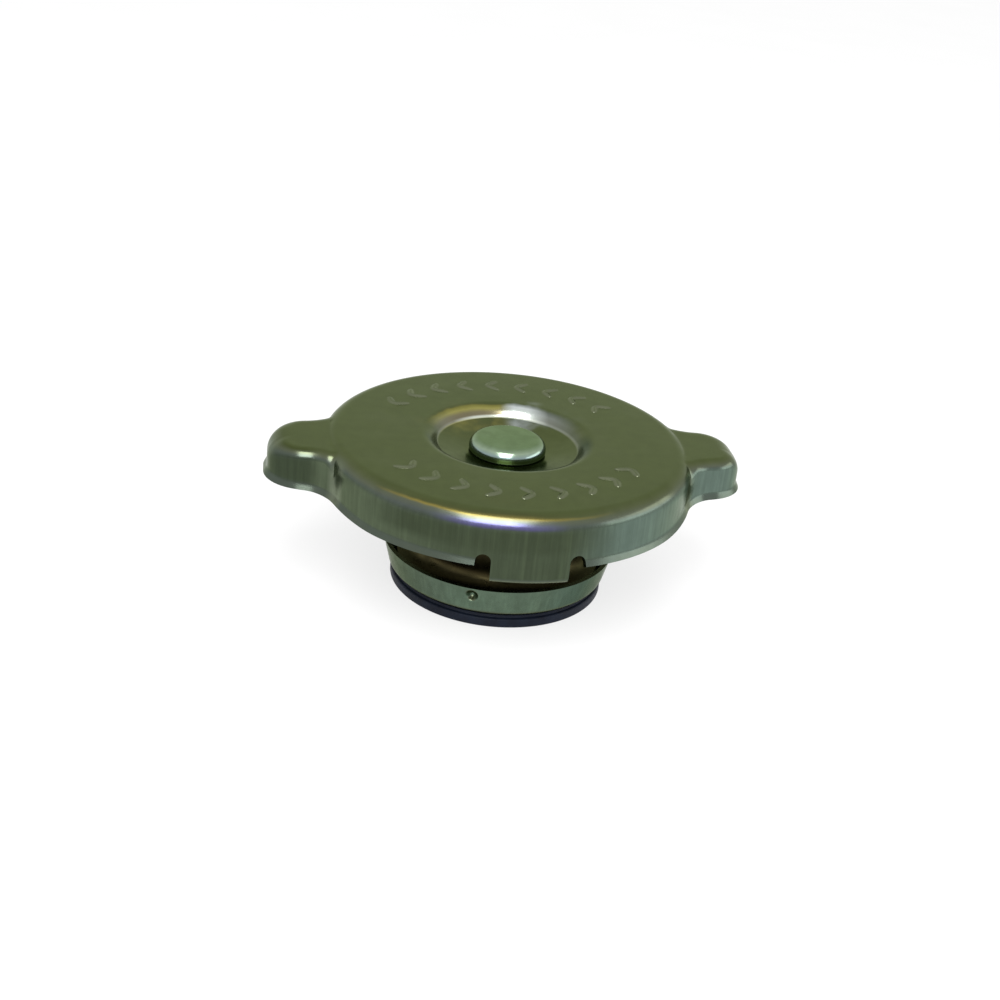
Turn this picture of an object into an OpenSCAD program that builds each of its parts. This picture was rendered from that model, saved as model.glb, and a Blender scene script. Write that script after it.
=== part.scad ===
// Pressure cap for a radiator filler neck: a pressed steel shell with two grip
// ears, and a sprung valve that hangs under it on a rivet.
// The origin is the centre of the seal's lower face. +Z is up, +X runs through
// the ears, and the cam tabs stand at +Y and -Y. All lengths are millimetres.

/* [Shell] */
// Outside diameter of the shell
shell_d = 66; // [62:0.5:74]
// Sheet thickness of the shell
shell_t = 1; // [0.7:0.05:1.2]
// Height of the shell's top above the seal's lower face
cap_h = 28.3; // [27:0.1:36]
// Outer radius of the bend between the shell's top and its skirt
shell_edge_r = 2.9; // [1.6:0.1:3.2]
// Height of the skirt, measured from the shell's top
skirt_h = 8.9; // [8.4:0.1:11]
// Outward flare of the skirt's lower edge
flare = 0.6; // [0.2:0.1:1]
// Height of the flared band
flare_h = 1.2; // [0.8:0.1:2]

/* [Centre recess] */
// Diameter of the recess where its wall meets the shell's top
recess_top_d = 28.8; // [27.4:0.2:34]
// Run of the recess wall, from the shell's top in to its foot
recess_wall = 1.9; // [1.4:0.1:3]
// Depth of the recess at its centre
recess_h = 3; // [2.6:0.1:4]
// Diameter of the flat seat under the rivet's head
recess_seat_d = 15.2; // [14.8:0.2:18]
// Rise of the recess floor from that seat to the foot of its wall
recess_dish = 1.1; // [0.2:0.1:1.4]
// Radius of the bend from the shell's top into the recess
recess_rim_r = 3.6; // [2:0.2:4]
// Radius of the bend at the foot of the recess wall
recess_foot_r = 0.8; // [0.5:0.1:1.6]

/* [Ears] */
// Distance from ear tip to ear tip, above the flare
ear_span = 85; // [82:0.1:98]
// Width of an ear
ear_w = 16.6; // [14.4:0.2:20]
// Drop from the shell's top to an ear's top
ear_step = 0.5; // [0.3:0.1:1.6]
// Rise of an ear's lower edge above the skirt's lower edge
ear_rise = 1.4; // [0:0.1:2]
// Outer radius of the bend round an ear's top
ear_edge_r = 4.2; // [2:0.1:4.6]
// Corner radius of an ear's tip, seen from above
ear_corner_r = 7; // [5:0.5:7]
// Radius of the hollow blend from an ear into the skirt, seen from above
ear_blend_r = 6.5; // [4:0.5:10]

/* [Cam tabs] */
// Width of a cam tab
tab_w = 13; // [10:0.5:18]
// Drop from the shell's top to a cam tab's underside
tab_h = 12.3; // [11.4:0.1:14]
// Reach of a cam tab's lip inside the skirt
tab_lip = 4.6; // [3:0.1:5]
// Outer radius of the bend in a cam tab
tab_bend_r = 1.5; // [1.3:0.1:2]
// Width of the relief notch on each side of a cam tab
notch_w = 2.6; // [1.6:0.1:3.4]
// Height that a relief notch reaches above the skirt's lower edge
notch_h = 1.9; // [1.4:0.1:3]

/* [Rivet] */
// Diameter of the rivet's head
rivet_head_d = 13.8; // [11:0.2:16]
// Height of the rivet's head
rivet_head_h = 2.6; // [2.4:0.1:3.4]
// Edge radius of the rivet's head
rivet_edge_r = 1.8; // [0.3:0.1:1.9]
// Radius at the foot of the rivet's head
rivet_foot_r = 0.5; // [0.2:0.05:0.7]
// Diameter of the rivet's shank
rivet_shank_d = 7.6; // [5:0.1:8.6]
// Diameter of the clenched tail
rivet_tail_d = 10.4; // [9.6:0.2:11]
// Height of the clenched tail
rivet_tail_h = 1.6; // [1:0.1:2]
// Outside diameter of the washer above the tail
washer_d = 13; // [11.4:0.2:14]
// Thickness of the washer
washer_t = 0.8; // [0.5:0.1:1.2]

/* [Friction spring] */
// Outside diameter of the dished friction spring
friction_d = 56; // [50:0.5:58]
// Sheet thickness of the friction spring
friction_t = 0.4; // [0.3:0.05:0.6]
// Drop of the dish from its centre to its rim
friction_dish = 1.7; // [1:0.1:2.4]
// Width of the friction spring's turned-up lip
friction_lip = 2; // [1:0.1:3]
// Height of the turned-up lip
friction_lip_h = 0.4; // [0.2:0.05:0.8]
// Radius of the bend where the dish starts
friction_bend_r = 8; // [2:0.5:12]
// Diameter of the flat centre of the friction spring, where it is wider than the bell below
friction_flat_d = 29; // [28.6:0.2:34]
// Least reach of that flat centre past the bell's wall
friction_reach = 0.1; // [0.05:0.05:0.5]

/* [Bell] */
// Outside diameter of the bell's wall
bell_d = 28.4; // [26:0.2:33]
// Sheet thickness of the bell
bell_t = 0.7; // [0.5:0.05:0.9]
// Outer radius of the bend at the bell's top
bell_edge_r = 2; // [1.2:0.1:3]
// Radius of the sweep from the bell's wall into its flange, where the flange has room
bell_sweep_r = 3.4; // [2:0.1:3.6]
// Least width of flange that the sweep leaves flat
flange_land = 0.6; // [0.3:0.1:1]

/* [Pressure spring] */
// Wire diameter of the pressure spring
coil_wire = 2; // [1.4:0.1:2.2]
// Turns of the pressure spring, with its closed ends
coil_turns = 6.5; // [5:0.5:7]

/* [Valve cup] */
// Diameter of the cup's rim
cup_rim_d = 42.2; // [40.8:0.1:43]
// Diameter of the cup's wall at the level of its underside
cup_base_d = 39.4; // [38.4:0.1:40]
// Height of the cup
cup_h = 5.6; // [5.4:0.1:7]
// Sheet thickness of the cup
cup_t = 0.7; // [0.5:0.05:0.8]
// Outer radius of the bend at the cup's foot
cup_corner_r = 1.5; // [1.1:0.1:1.8]
// Number of staking dents round the cup
dent_count = 3; // [3:1:4]
// Direction of the first staking dent, in degrees from +X
dent_angle = -110; // [-180:1:180]
// Radius of the punch that made the dents
dent_r = 1.2; // [0.9:0.05:1.4]
// Distance from the cup's rim down to the middle of a dent
dent_drop = 1.6; // [1.5:0.1:1.8]
// Amount by which the dents overhang the bell's flange
dent_catch = 0.3; // [0.2:0.05:0.5]

/* [Seal] */
// Outside diameter of the seal
seal_d = 39; // [36:0.2:39.6]
// Height of the seal's sealing land
seal_h = 2.4; // [2.3:0.1:3.2]
// Thickness of the seal's web, which the retainer clamps
seal_web = 1; // [0.7:0.1:1.1]
// Edge radius of the sealing land
seal_edge_r = 0.3; // [0.1:0.05:0.5]
// Height of the groove between the seal's outer edge and the cup
groove_h = 0.7; // [0.4:0.1:1]
// Depth of that groove
groove_deep = 0.7; // [0.3:0.1:1]

/* [Seal retainer] */
// Outside diameter of the retainer's neck
neck_d = 12.6; // [11:0.2:13.6]
// Outside diameter of the retainer's brim
brim_d = 16; // [15:0.2:17]
// Height of the retainer's crown above the cup's underside
crown_h = 4.2; // [3.4:0.1:6]
// Sheet thickness of the retainer
retainer_t = 0.5; // [0.3:0.05:0.6]
// Height of the cup's collar round the neck
collar_h = 2.2; // [1.8:0.1:2.8]
// Radius of the bend at the collar's foot
collar_bend_r = 1; // [0.9:0.1:1.4]
// Number of vent holes in the crown
vent_count = 3; // [3:1:5]
// Diameter of a vent hole
vent_d = 2; // [1.2:0.1:2.2]

/* [Vacuum valve] */
// Outside diameter of the vacuum disc
disc_d = 20.8; // [19.6:0.2:23]
// Sheet thickness of the vacuum disc
disc_t = 0.5; // [0.3:0.05:0.55]
// Width of the vacuum disc's raised rim
disc_rim_w = 1.2; // [1:0.1:1.4]
// Radius of the bends below the raised rim
disc_bend_r = 0.7; // [0.6:0.05:0.8]
// Diameter of the vacuum stem
stem_d = 3; // [2.4:0.1:3.4]
// Diameter of the stem's riveted tail, through the disc
tail_d = 2.4; // [1.6:0.1:2.8]
// Length of stem that stands above its clip
stem_end = 0.6; // [0.4:0.1:1.2]
// Diameter of the stem's shoulder
shoulder_d = 5; // [4.4:0.1:6]
// Height of the stem's shoulder
shoulder_h = 0.8; // [0.4:0.1:1.2]
// Wire diameter of the vacuum spring
vac_wire = 0.5; // [0.3:0.05:0.55]
// Length of the vacuum spring in place
vac_spring_l = 3.8; // [3.6:0.1:6]
// Turns of the vacuum spring
vac_turns = 4; // [3:0.5:4.5]
// Outside diameter of the stem clip
clip_d = 7; // [6.6:0.1:8]
// Sheet thickness of the stem clip
clip_t = 0.5; // [0.3:0.05:0.7]
// Height that the clip's gripping edge is raised
clip_grip = 0.4; // [0.2:0.05:0.5]

/* [Clearances] */
// Running gap between the rivet with its washer and what turns on it
swivel_gap = 0.05; // [0.02:0.01:0.1]
// Running gap round the vacuum stem
stem_gap = 0.05; // [0.02:0.01:0.1]
// Gap between the bell's flange and the cup's wall
flange_gap = 0.4; // [0.3:0.05:0.6]
// Gap between the flange and the dents that it hangs under
catch_gap = 0.1; // [0.05:0.05:0.3]
// Gap between the pressure spring and the bell's wall
coil_gap = 0.8; // [0.5:0.1:1.2]
// Gap between the vacuum spring and the stem inside it
vac_coil_gap = 0.6; // [0.3:0.05:0.8]
// Gap between the vacuum disc and the seal's web that it closes on
seat_gap = 0.05; // [0.02:0.01:0.1]
// Gap between the retainer's brim and the vacuum disc below it
brim_gap = 0.15; // [0.1:0.05:0.2]
// Gap between the vacuum disc's edge and the sealing land
disc_gap = 1; // [0.6:0.1:1.4]

/* [Hidden] */
$fa = 3;
$fs = 0.3;

// Steps in each bend of a section, and in each arc of an ear's plan
bend_steps = 6;
// Sides of the spring wires, and steps in each turn
coil_sides = 12;
coil_steps = 16;
vac_sides = 8;
vac_steps = 14;
// Overrun that carries a cut clear of the face that it starts from
cut = 1;

// Radii of the round pieces
shell_r = shell_d / 2;
shank_r = rivet_shank_d / 2;
turning_r = shank_r + swivel_gap;
bell_r = bell_d / 2;
friction_flat_r = max(friction_flat_d / 2, bell_r + friction_reach);
cup_base_r = cup_base_d / 2;
cup_rim_r = cup_rim_d / 2;
neck_r = neck_d / 2;
stem_r = stem_d / 2;
disc_r = disc_d / 2;

// Levels of the shell, from its top down
recess_z = cap_h - recess_h;
skirt_z = cap_h - skirt_h;
flare_z = skirt_z + flare_h;
ear_z = cap_h - ear_step;
tab_z = cap_h - tab_h;

// Levels of the stack on the rivet, from the shell's floor down
friction_z = recess_z - shell_t - swivel_gap;
bell_z = friction_z - friction_t;
washer_z = bell_z - bell_t - swivel_gap;
tail_z = washer_z - washer_t;

// Levels of the valve, from the seal up
web_z = seal_h - seal_web;
cup_z = seal_h;
cup_floor_z = cup_z + cup_t;
cup_rim_z = cup_z + cup_h;
crown_z = cup_z + crown_h;
clip_z = crown_z + vac_spring_l;
disc_rim_z = web_z - seat_gap;
disc_plate_z = web_z - retainer_t - brim_gap;

// The dents overhang the flange, and the flange hangs just under them
bump_r = dent_r + cup_t;
flange_r = cup_base_r - cup_t - flange_gap;
dent_x = flange_r - dent_catch + bump_r;
dent_z = cup_rim_z - dent_drop;
flange_sweep_r = min(bell_sweep_r, flange_r - bell_r - flange_land);
flange_z = dent_z - sqrt(bump_r * bump_r - pow(bump_r - dent_catch, 2)) - catch_gap;

// Plan of an ear: a round corner at the tip, then a hollow blend that runs
// into the skirt. The blend bites a little way into the skirt's circle.
ear_bite = 0.2;
ear_corner_c = [ear_span / 2 - ear_corner_r, ear_w / 2 - ear_corner_r];
blend_reach = shell_r + ear_blend_r - ear_bite;
blend_turn = acos((pow(norm(ear_corner_c), 2) + pow(blend_reach, 2) - pow(ear_blend_r + ear_corner_r, 2))
                  / (2 * norm(ear_corner_c) * blend_reach));
blend_angle = atan2(ear_corner_c[1], ear_corner_c[0]) + blend_turn;
blend_c = blend_reach * [cos(blend_angle), sin(blend_angle)];
blend_from = atan2(blend_c[1] - ear_corner_c[1], blend_c[0] - ear_corner_c[0]);
// How far outside the skirt an ear's lower edge has made its full rise
ear_rise_run = 4;
// How far an ear's root reaches inside the skirt
ear_root = 8;

// Direction of a unit step, the side to its left, and a list read backwards
function unit(v) = v / norm(v);
function left(v) = [-v[1], v[0]];
function reversed(p) = [for (i = [len(p) - 1 : -1 : 0]) p[i]];
function flat(p) = [p[0], p[1]];

// Points of an arc
function arc(c, r, a0, a1) = [for (i = [0 : bend_steps])
    let (a = a0 + (a1 - a0) * i / bend_steps) c + r * [cos(a), sin(a)]];

// The short way round from one angle to another
function short_turn(d) = d > 180 ? d - 360 : d < -180 ? d + 360 : d;

// Corner b of the path a, b, c, rounded to radius r
function corner(a, b, c, r) =
    let (u = unit(a - b), v = unit(c - b), half = acos(u * v) / 2)
    let (o = b + unit(u + v) * r / sin(half), s = b + u * r / tan(half) - o, e = b + v * r / tan(half) - o)
    let (a0 = atan2(s[1], s[0]), a1 = a0 + short_turn(atan2(e[1], e[0]) - a0))
    arc(o, r, a0, a1);

// Path through [x, z, bend radius] points, with each inner corner rounded
function bent(p) = [for (i = [0 : len(p) - 1])
    each (i == 0 || i == len(p) - 1 || p[i][2] == 0) ? [flat(p[i])]
        : corner(flat(p[i - 1]), flat(p[i]), flat(p[i + 1]), p[i][2])];

// The same path moved sideways by d, to the left where d is positive
function edge_side(p, i) = left(unit(p[i + 1] - p[i]));
function point_side(p, i) = i == 0 ? edge_side(p, 0)
    : i == len(p) - 1 ? edge_side(p, i - 1)
    : let (a = edge_side(p, i - 1), b = edge_side(p, i)) (a + b) / (1 + a * b);
function shifted(p, d) = [for (i = [0 : len(p) - 1]) p[i] + d * point_side(p, i)];

// Section of a sheet of thickness t that lies to the right of a path
module sheet_section(path, t) {
    polygon(concat(path, reversed(shifted(path, -t))));
}

// Round pressing: that section turned about Z
module pressing(path, t) {
    rotate_extrude() sheet_section(path, t);
}

// Coil of round wire between two levels. The first and last turns are closed:
// they rise by little more than the wire's own diameter.
closed_turns = 1;
closed_pitch = 1.04;
module coil(mean_r, wire, z0, z1, turns, sides, steps) {
    wire_r = wire / 2;
    rings = round(turns * steps);
    rise = z1 - z0 - wire;
    closed_rise = min(closed_turns * closed_pitch * wire, rise / 4);
    open_rate = (rise - 2 * closed_rise) / (turns - 2 * closed_turns);
    function height(t) = t < closed_turns ? closed_rise * t / closed_turns
        : t > turns - closed_turns ? rise - closed_rise * (turns - t) / closed_turns
        : closed_rise + open_rate * (t - closed_turns);
    points = [for (k = [0 : rings], s = [0 : sides - 1])
        let (t = turns * k / rings, a = 360 * s / sides, r = mean_r + wire_r * cos(a))
        [r * cos(360 * t), r * sin(360 * t), z0 + wire_r + height(t) + wire_r * sin(a)]];
    walls = [for (k = [0 : rings - 1], s = [0 : sides - 1])
        let (n = (s + 1) % sides) [k * sides + s, k * sides + n, (k + 1) * sides + n, (k + 1) * sides + s]];
    start = [for (s = [sides - 1 : -1 : 0]) s];
    end = [for (s = [0 : sides - 1]) rings * sides + s];
    polyhedron(points, concat(walls, [start, end]), convexity = 10);
}

// One half of an ear's plan, from the tip to the root, moved outwards by d
function ear_half(d) = concat(
    arc(ear_corner_c, ear_corner_r + d, 0, blend_from),
    arc(blend_c, ear_blend_r - d, blend_from - 180, blend_angle - 180),
    [(shell_r - ear_root) * [cos(blend_angle), sin(blend_angle)]]);
function ear_plan(d) = concat([for (p = reversed(ear_half(d))) [p[0], -p[1]]], ear_half(d));

// Share of the lower edge's rise that a point of an ear has
function rise_share(p) = let (s = max(0, min(1, (norm(p) - shell_r) / ear_rise_run))) s * s * (3 - 2 * s);

// Section of an ear's wall: outward offset from the plan, height, share of the rise
ear_wall = bent([[-ear_edge_r - ear_w / 4, ear_z, 0], [0, ear_z, ear_edge_r], [0, flare_z, flare_h],
                 [flare, skirt_z, 0]]);
function ear_levels(wall) = [for (i = [1 : len(wall) - 1])
    [wall[i][0], wall[i][1], i > bend_steps + 1 ? 1 : 0]];

// Solid between the levels of an ear
module ear_loft(levels) {
    plans = [for (l = levels) ear_plan(l[0])];
    n = len(plans[0]);
    m = len(levels);
    points = [for (k = [0 : m - 1], p = plans[k])
        [p[0], p[1], levels[k][1] + ear_rise * levels[k][2] * rise_share(p)]];
    walls = [for (k = [0 : m - 2], i = [0 : n - 1])
        let (j = (i + 1) % n) [k * n + i, k * n + j, (k + 1) * n + j, (k + 1) * n + i]];
    lid = [for (i = [0 : n / 2 - 2]) [i, n - 1 - i, n - 2 - i, i + 1]];
    foot = [for (f = lid) [for (v = reversed(f)) v + (m - 1) * n]];
    polyhedron(points, concat(walls, lid, foot), convexity = 6);
}

// The whole lobe of an ear, and the hollow that its sheet leaves inside
module ear_lobe() {
    ear_loft(ear_levels(ear_wall));
}
module ear_hollow() {
    inner = ear_levels(shifted(ear_wall, -shell_t));
    last = inner[len(inner) - 1];
    ear_loft(concat(inner, [[last[0], skirt_z - ear_rise - cut, 1]]));
}

// Upper face of the shell, from the rivet's hole to the skirt's lower edge
shell_face = bent([[shank_r, recess_z, 0], [recess_seat_d / 2, recess_z, recess_rim_r],
                   [recess_top_d / 2 - recess_wall, recess_z + recess_dish, recess_foot_r],
                   [recess_top_d / 2, cap_h, recess_rim_r], [shell_r, cap_h, shell_edge_r],
                   [shell_r, flare_z, flare_h], [shell_r + flare, skirt_z, 0]]);

// Round body of the shell as a solid, and the hollow under its sheet
module shell_body() {
    rotate_extrude() polygon(concat(shell_face, [[shank_r, skirt_z]]));
}
module shell_hollow() {
    under = shifted(shell_face, -shell_t);
    last = under[len(under) - 1];
    low_z = skirt_z - cut;
    rotate_extrude() polygon(concat([[0, under[0][1]]], under, [[last[0], low_z], [0, low_z]]));
}

// A cam tab hangs from the plain skirt above the flare, between two notches
tab_root_z = flare_z + flare_h / 2;
notch_r = notch_w / 2;
notch_angle = asin((tab_w / 2 + notch_r) / shell_r);
module tab_sector() {
    rotate([0, 0, 90 - notch_angle]) rotate_extrude(angle = 2 * notch_angle) children();
}
module tab_gap() {
    tab_sector() translate([shell_r - shell_t - cut, tab_z])
        square([shell_t + flare + 2 * cut, tab_root_z - tab_z]);
}
// A tab's sheet laps up into the skirt's own sheet, so that the two are one
module cam_tab() {
    tab_face = bent([[shell_r, tab_root_z + cut, 0], [shell_r, tab_z, tab_bend_r],
                     [shell_r - tab_lip, tab_z, 0]]);
    tab_sector() sheet_section(tab_face, shell_t);
}
module relief_notch() {
    deep = tab_lip + 2 * cut;
    rotate([90, 0, 0]) translate([0, 0, -shell_r - flare - cut]) linear_extrude(deep + flare) {
        translate([0, skirt_z + notch_h - notch_r]) circle(notch_r);
        translate([-notch_r, tab_z - cut]) square([notch_w, skirt_z + notch_h - notch_r - tab_z + cut]);
    }
}

module shell() {
    color([0.38, 0.37, 0.22]) difference() {
        union() {
            difference() {
                union() {
                    shell_body();
                    for (side = [0, 180]) rotate([0, 0, side]) ear_lobe();
                }
                shell_hollow();
                for (side = [0, 180]) rotate([0, 0, side]) {
                    ear_hollow();
                    tab_gap();
                }
            }
            for (side = [0, 180]) rotate([0, 0, side]) cam_tab();
        }
        for (side = [0, 180], flank = [-1, 1]) rotate([0, 0, side + flank * notch_angle]) relief_notch();
    }
}

module rivet() {
    head_z = recess_z + rivet_head_h;
    head_r = rivet_head_d / 2;
    tail_r = rivet_tail_d / 2;
    tail_end = tail_z - rivet_tail_h;
    color([0.58, 0.6, 0.47]) rotate_extrude() polygon(bent([
        [0, head_z, 0], [head_r, head_z, rivet_edge_r], [head_r, recess_z, rivet_foot_r],
        [shank_r, recess_z, 0], [shank_r, tail_z, 0], [tail_r, tail_z, rivet_tail_h / 4],
        [tail_r, tail_end, rivet_tail_h / 2], [0, tail_end, 0]]));
}

module rivet_washer() {
    color([0.6, 0.6, 0.55]) translate([0, 0, tail_z]) difference() {
        cylinder(d = washer_d, h = washer_t);
        translate([0, 0, -cut]) cylinder(r = shank_r, h = washer_t + 2 * cut);
    }
}

module friction_spring() {
    rim_r = friction_d / 2;
    rim_z = friction_z - friction_dish;
    color([0.62, 0.6, 0.5]) pressing(bent([
        [turning_r, friction_z, 0], [friction_flat_r, friction_z, friction_bend_r],
        [rim_r - friction_lip, rim_z, friction_lip], [rim_r, rim_z + friction_lip_h, 0]]), friction_t);
}

module bell() {
    color([0.42, 0.36, 0.22]) pressing(bent([
        [turning_r, bell_z, 0], [bell_r, bell_z, bell_edge_r],
        [bell_r, flange_z, flange_sweep_r], [flange_r, flange_z, 0]]), bell_t);
}

module pressure_spring() {
    mean_r = bell_r - bell_t - coil_gap - coil_wire / 2;
    top_z = bell_z - bell_t;
    color([0.5, 0.48, 0.42]) coil(mean_r, coil_wire, cup_floor_z, top_z, coil_turns, coil_sides, coil_steps);
}

// Outer face of the cup: down its wall, in along its floor, up its collar
cup_face = bent([[cup_rim_r, cup_rim_z, 0], [cup_base_r, cup_z, cup_corner_r],
                 [neck_r, cup_z, collar_bend_r], [neck_r, cup_z + collar_h, 0]]);

module valve_cup() {
    color([0.5, 0.5, 0.36]) difference() {
        union() {
            pressing(cup_face, cup_t);
            intersection() {
                rotate_extrude() polygon(concat(cup_face, [[0, cup_z + collar_h], [0, cup_rim_z]]));
                dents() sphere(bump_r);
            }
        }
        dents() sphere(dent_r);
    }
}
module dents() {
    for (i = [0 : dent_count - 1]) rotate([0, 0, dent_angle + i * 360 / dent_count])
        translate([dent_x, 0, dent_z]) children();
}

module seal() {
    inner_r = neck_r + retainer_t;
    land_r = disc_r + disc_gap;
    outer_r = seal_d / 2;
    groove_r = outer_r - groove_deep;
    groove_z = seal_h - groove_h;
    color([0.1, 0.11, 0.14]) rotate_extrude() polygon(bent([
        [inner_r, web_z, 0], [land_r, web_z, seal_edge_r], [land_r + web_z / 3, 0, seal_edge_r],
        [outer_r, 0, seal_edge_r], [outer_r, groove_z, seal_edge_r], [groove_r, groove_z, 0],
        [groove_r, seal_h, 0], [inner_r, seal_h, 0]]));
}

module seal_retainer() {
    vent_ring_r = (stem_r + neck_r - retainer_t) / 2;
    color([0.6, 0.58, 0.45]) difference() {
        pressing(bent([
            [stem_r + stem_gap, crown_z, 0], [neck_r, crown_z, 2 * retainer_t],
            [neck_r, web_z, retainer_t / 2], [brim_d / 2, web_z, 0]]), retainer_t);
        for (i = [0 : vent_count - 1]) rotate([0, 0, i * 360 / vent_count])
            translate([vent_ring_r, 0, crown_z - retainer_t - cut])
                cylinder(d = vent_d, h = retainer_t + 2 * cut);
    }
}

// The disc is dished, so that its rim reaches the seal past the brim
module vacuum_disc() {
    color([0.72, 0.55, 0.26]) pressing(bent([
        [tail_d / 2, disc_plate_z, 0], [disc_r - 2 * disc_rim_w, disc_plate_z, disc_bend_r],
        [disc_r - disc_rim_w, disc_rim_z, disc_bend_r], [disc_r, disc_rim_z, 0]]), disc_t);
}

module vacuum_stem() {
    top_z = clip_z + clip_t + clip_grip + stem_end;
    tail_r = tail_d / 2;
    shoulder_r = shoulder_d / 2;
    shoulder_z = disc_plate_z + shoulder_h;
    color([0.75, 0.58, 0.3]) rotate_extrude() polygon(bent([
        [0, top_z, 0], [stem_r, top_z, stem_r / 3], [stem_r, shoulder_z, 0], [shoulder_r, shoulder_z, 0],
        [shoulder_r, disc_plate_z, 0], [tail_r, disc_plate_z, 0], [tail_r, disc_plate_z - disc_t, 0],
        [0, disc_plate_z - disc_t, 0]]));
}

module vacuum_spring() {
    mean_r = stem_r + vac_coil_gap + vac_wire / 2;
    color([0.66, 0.66, 0.62]) coil(mean_r, vac_wire, crown_z, clip_z, vac_turns, vac_sides, vac_steps);
}

// The clip's inner edge is raised, and bored to grip the stem
module stem_clip() {
    grip_z = clip_z + clip_t + clip_grip;
    color([0.62, 0.62, 0.58]) difference() {
        pressing(bent([
            [stem_r, grip_z, 0], [stem_r + 2 * clip_grip, clip_z + clip_t, clip_t],
            [clip_d / 2, clip_z + clip_t, 0]]), clip_t);
        translate([0, 0, clip_z - cut]) cylinder(r = stem_r, h = grip_z - clip_z + 2 * cut);
    }
}

shell();
rivet();
rivet_washer();
friction_spring();
bell();
pressure_spring();
valve_cup();
seal();
seal_retainer();
vacuum_disc();
vacuum_stem();
vacuum_spring();
stem_clip();
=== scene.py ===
# %% [markdown]
# # A radiator cap, dressed
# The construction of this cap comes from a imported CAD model: a pressed shell with two ears, a rivet, and
# a sprung valve under it. This lesson gives that model its looks. The CAD model stays as the fixed frame,
# and every piece made here sits where the frame says, in metres, and moves with one of its bodies.

import math

import bmesh
import bpy
import numpy as np
from mathutils import Matrix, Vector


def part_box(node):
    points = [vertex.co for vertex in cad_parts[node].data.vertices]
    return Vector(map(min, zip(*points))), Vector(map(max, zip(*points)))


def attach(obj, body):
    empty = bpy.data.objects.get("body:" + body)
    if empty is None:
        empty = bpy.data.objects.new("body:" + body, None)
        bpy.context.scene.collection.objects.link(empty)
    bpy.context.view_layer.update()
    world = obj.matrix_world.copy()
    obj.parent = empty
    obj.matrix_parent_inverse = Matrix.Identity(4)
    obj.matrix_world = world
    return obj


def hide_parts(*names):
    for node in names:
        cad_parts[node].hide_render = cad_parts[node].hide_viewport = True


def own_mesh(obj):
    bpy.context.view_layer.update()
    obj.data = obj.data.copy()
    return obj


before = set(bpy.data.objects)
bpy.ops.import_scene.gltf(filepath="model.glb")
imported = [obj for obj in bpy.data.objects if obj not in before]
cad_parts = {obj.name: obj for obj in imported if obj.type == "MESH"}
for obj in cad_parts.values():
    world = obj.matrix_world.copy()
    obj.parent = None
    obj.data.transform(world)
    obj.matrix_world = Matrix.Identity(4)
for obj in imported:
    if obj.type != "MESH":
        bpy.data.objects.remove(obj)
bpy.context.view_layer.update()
MM = 0.001


def box_mm(node):
    """Lowest and highest corner of a CAD node's box, in millimetres."""
    return [np.array(corner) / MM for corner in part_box(node)]


# %% [markdown]
# ## Helpers for pressed and turned pieces
# Nearly everything on the cap was pressed from sheet or turned on a lathe, so one idea makes most of it:
# a section, drawn as a path of straight stretches and round bends, which is carried round the axis. A
# sheet piece is modelled as its outer face alone, and Solidify then gives it the thickness of the sheet,
# as a press keeps it.

# %% Paths with round bends
def bent(corners, steps=8):
    """Path through (x, z, radius) corners. An inner corner with a radius becomes an arc: it leaves both
    straight stretches at radius * tan(turn / 2) from the corner, and its centre lies on the line that
    halves the corner."""
    corners = np.array(corners, float)
    path = [corners[0, :2]]
    for before, here, after in zip(corners[:-2, :2], corners[1:-1], corners[2:, :2]):
        point, radius = here[:2], here[2]
        if radius == 0:
            path.append(point)
            continue
        back = (before - point) / np.linalg.norm(before - point)
        ahead = (after - point) / np.linalg.norm(after - point)
        half = np.arccos(np.clip(back @ ahead, -1, 1)) / 2
        centre = point + (back + ahead) / np.linalg.norm(back + ahead) * radius / np.sin(half)
        start = point + back * radius / np.tan(half) - centre
        end = point + ahead * radius / np.tan(half) - centre
        first = np.arctan2(start[1], start[0])
        turn = (np.arctan2(end[1], end[0]) - first + np.pi) % (2 * np.pi) - np.pi
        angle = first + turn * np.linspace(0, 1, steps + 1)
        path.extend(centre + radius * np.stack([np.cos(angle), np.sin(angle)], 1))
    path.append(corners[-1, :2])
    return np.array(path)


def closed(path):
    """The same path, ending where it starts."""
    return np.concatenate([path, path[:1]])


def along(path, run):
    """Points of a path at given distances along it."""
    length = np.concatenate([[0], np.cumsum(np.linalg.norm(np.diff(path, axis=0), axis=1))])
    return np.stack([np.interp(run, length, path[:, 0]), np.interp(run, length, path[:, 1])], -1)


def path_length(path):
    """Sum of a path's stretches."""
    return np.linalg.norm(np.diff(path, axis=0), axis=1).sum()


print("a right-angled bend has", len(bent([(0, 0, 0), (5, 0, 2), (5, 5, 0)])), "points")

# %% Pieces from grids
WELD = 1e-7


def grid_quads(rows, columns, wrap=True):
    """Quads of a grid whose vertex (row, column) has the number row * columns + column. With wrap, the
    last column joins the first. They face to the left of a path that runs outwards along the rows."""
    row = np.arange(rows - 1)[:, None]
    column = np.arange(columns if wrap else columns - 1)[None, :]
    beside = (column + 1) % columns
    near, far = row * columns, (row + 1) * columns
    corners = [near + column, far + column, far + beside, near + beside]
    return np.stack(np.broadcast_arrays(*corners), -1).reshape(-1, 4)


def in_scene(name, data):
    """Object for a mesh, a lamp or a camera, linked into the scene."""
    made = bpy.data.objects.new(name, data)
    bpy.context.scene.collection.objects.link(made)
    return made


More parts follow.
